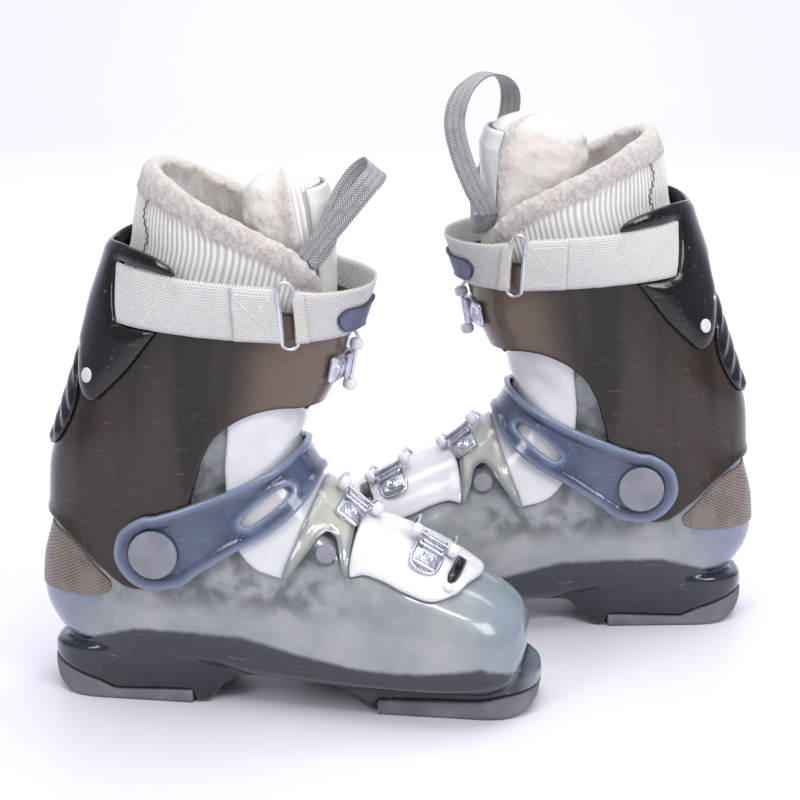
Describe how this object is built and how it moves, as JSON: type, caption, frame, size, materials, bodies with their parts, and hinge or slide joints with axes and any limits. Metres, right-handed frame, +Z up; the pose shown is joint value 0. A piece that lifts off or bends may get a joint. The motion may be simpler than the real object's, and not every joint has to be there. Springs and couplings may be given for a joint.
{
  "type": "pair of alpine ski boots",
  "caption": "Pair of alpine ski boots with hinged cuffs, instep yokes, wire-bail buckles, power straps and fleece liners, standing toe to toe.",
  "frame": {"origin": "on the floor, at the middle of the pair's footprint", "axes": "+X along the left boot's length, heel to toe (the right boot's toe points to -X), +Y from the inner side of the left boot toward the right boot's outer side, +Z up"},
  "size_m": [0.4492, 0.2576, 0.3606],
  "materials": {
    "shell_plastic": "milky translucent, glossy",
    "smoke_plastic": "smoky brown translucent, glossy",
    "blue_plastic": "slate blue translucent, satin",
    "white_plastic": "glossy",
    "flap_plastic": "translucent grey green",
    "black_plastic": "glossy",
    "sole_grey": "worn matt",
    "insert_mesh": "fine woven texture",
    "pivot_grey": "scuffed matt",
    "steel": "polished",
    "strap_webbing": "twill webbing",
    "loop_webbing": "herringbone webbing",
    "liner_fleece": "fleece and ribbed panels"
  },
  "bodies": {
    "left_boot": {"left_lower_shell": "shell_plastic", "left_toe_sole": "sole_grey", "left_heel_sole": "sole_grey", "left_heel_insert": "insert_mesh", "left_toe_plate": "white_plastic", "left_instep_flap": "flap_plastic", "left_shell_tongue": "white_plastic", "left_instep_yoke": "blue_plastic", "left_pivot_inner": "pivot_grey", "left_pivot_outer": "pivot_grey", "left_toe_catch": "steel", "left_toe_base": "steel", "left_instep_catch": "steel", "left_instep_base": "steel", "left_liner": "liner_fleece"},
    "left_upper": {"left_cuff": "smoke_plastic", "left_rear_collar": "black_plastic", "left_power_strap": "strap_webbing", "left_strap_ring": "steel", "left_cuff_catch": "steel", "left_cuff_base": "steel", "left_liner_tongue": "liner_fleece", "left_pull_loop": "loop_webbing"},
    "left_toe_lever": {"left_toe_lever": "steel"},
    "left_toe_bail": {"left_toe_bail": "steel"},
    "left_instep_lever": {"left_instep_lever": "steel"},
    "left_instep_bail": {"left_instep_bail": "steel"},
    "left_cuff_lever": {"left_cuff_lever": "steel"},
    "left_cuff_bail": {"left_cuff_bail": "steel"},
    "right_boot": {"right_lower_shell": "shell_plastic", "right_toe_sole": "sole_grey", "right_heel_sole": "sole_grey", "right_heel_insert": "insert_mesh", "right_toe_plate": "white_plastic", "right_instep_flap": "flap_plastic", "right_shell_tongue": "white_plastic", "right_instep_yoke": "blue_plastic", "right_pivot_inner": "pivot_grey", "right_pivot_outer": "pivot_grey", "right_toe_catch": "steel", "right_toe_base": "steel", "right_instep_catch": "steel", "right_instep_base": "steel", "right_liner": "liner_fleece"},
    "right_upper": {"right_cuff": "smoke_plastic", "right_rear_collar": "black_plastic", "right_power_strap": "strap_webbing", "right_strap_ring": "steel", "right_cuff_catch": "steel", "right_cuff_base": "steel", "right_liner_tongue": "liner_fleece", "right_pull_loop": "loop_webbing"},
    "right_toe_lever": {"right_toe_lever": "steel"},
    "right_toe_bail": {"right_toe_bail": "steel"},
    "right_instep_lever": {"right_instep_lever": "steel"},
    "right_instep_bail": {"right_instep_bail": "steel"},
    "right_cuff_lever": {"right_cuff_lever": "steel"},
    "right_cuff_bail": {"right_cuff_bail": "steel"}
  },
  "joints": [
    {"name": "left_cuff_flex", "type": "hinge", "parent": "left_boot", "child": "left_upper", "pos_m": [-0.14412, -0.05266, 0.102], "axis": [0.143, 0.9897, 0], "range_deg": [0, 12], "stiffness_Nm_per_rad": 100, "deforming": ["left_liner", "left_shell_tongue"]},
    {"name": "left_toe_lever_turn", "type": "hinge", "parent": "left_boot", "child": "left_toe_lever", "pos_m": [0.01109, -0.03154, 0.08661], "axis": [0.8624, -0.1246, -0.4907], "range_deg": [0, 120]},
    {"name": "left_toe_bail_turn", "type": "hinge", "parent": "left_toe_lever", "child": "left_toe_bail", "pos_m": [0.00805, -0.02602, 0.07986], "axis": [0.8624, -0.1246, -0.4907], "range_deg": [-150, 0]},
    {"name": "left_instep_lever_turn", "type": "hinge", "parent": "left_boot", "child": "left_instep_lever", "pos_m": [-0.04264, -0.01649, 0.10285], "axis": [0.7699, -0.1112, -0.6283], "range_deg": [0, 120]},
    {"name": "left_instep_bail_turn", "type": "hinge", "parent": "left_instep_lever", "child": "left_instep_bail", "pos_m": [-0.04813, -0.01308, 0.09552], "axis": [0.7699, -0.1112, -0.6283], "range_deg": [-150, 0]},
    {"name": "left_cuff_lever_turn", "type": "hinge", "parent": "left_upper", "child": "left_cuff_lever", "pos_m": [-0.05589, -0.02089, 0.21266], "axis": [-0.1683, 0.0243, -0.9854], "range_deg": [0, 120]},
    {"name": "left_cuff_bail_turn", "type": "hinge", "parent": "left_cuff_lever", "child": "left_cuff_bail", "pos_m": [-0.06353, -0.01625, 0.21408], "axis": [-0.1683, 0.0243, -0.9854], "range_deg": [-150, 0]},
    {"name": "right_boot_lift", "type": "slide", "parent": "left_boot", "child": "right_boot", "axis": [0, 0, 1], "range_m": [0, 0.45]},
    {"name": "right_cuff_flex", "type": "hinge", "parent": "right_boot", "child": "right_upper", "pos_m": [0.1438, 0.06904, 0.102], "axis": [0.0339, -0.9994, 0], "range_deg": [0, 12], "stiffness_Nm_per_rad": 100, "deforming": ["right_liner", "right_shell_tongue"]},
    {"name": "right_toe_lever_turn", "type": "hinge", "parent": "right_boot", "child": "right_toe_lever", "pos_m": [-0.00817, 0.10701, 0.08661], "axis": [0.8708, 0.0295, 0.4907], "range_deg": [0, 120]},
    {"name": "right_toe_bail_turn", "type": "hinge", "parent": "right_toe_lever", "child": "right_toe_bail", "pos_m": [-0.00454, 0.11215, 0.07986], "axis": [0.8708, 0.0295, 0.4907], "range_deg": [-150, 0]},
    {"name": "right_instep_lever_turn", "type": "hinge", "parent": "right_boot", "child": "right_instep_lever", "pos_m": [0.04689, 0.11608, 0.10285], "axis": [0.7775, 0.0263, 0.6283], "range_deg": [0, 120]},
    {"name": "right_instep_bail_turn", "type": "hinge", "parent": "right_instep_lever", "child": "right_instep_bail", "pos_m": [0.05272, 0.11888, 0.09552], "axis": [0.7775, 0.0263, 0.6283], "range_deg": [-150, 0]},
    {"name": "right_cuff_lever_turn", "type": "hinge", "parent": "right_upper", "child": "right_cuff_lever", "pos_m": [0.05958, 0.11026, 0.21266], "axis": [-0.17, -0.0058, 0.9854], "range_deg": [0, 120]},
    {"name": "right_cuff_bail_turn", "type": "hinge", "parent": "right_cuff_lever", "child": "right_cuff_bail", "pos_m": [0.06768, 0.11404, 0.21408], "axis": [-0.17, -0.0058, 0.9854], "range_deg": [-150, 0]}
  ],
  "couplings": [
    {"joint": "left_toe_bail_turn", "follows": "left_toe_lever_turn", "ratio": -1.25},
    {"joint": "left_instep_bail_turn", "follows": "left_instep_lever_turn", "ratio": -1.25},
    {"joint": "left_cuff_bail_turn", "follows": "left_cuff_lever_turn", "ratio": -1.25},
    {"joint": "right_toe_bail_turn", "follows": "right_toe_lever_turn", "ratio": -1.25},
    {"joint": "right_instep_bail_turn", "follows": "right_instep_lever_turn", "ratio": -1.25},
    {"joint": "right_cuff_bail_turn", "follows": "right_cuff_lever_turn", "ratio": -1.25}
  ]
}
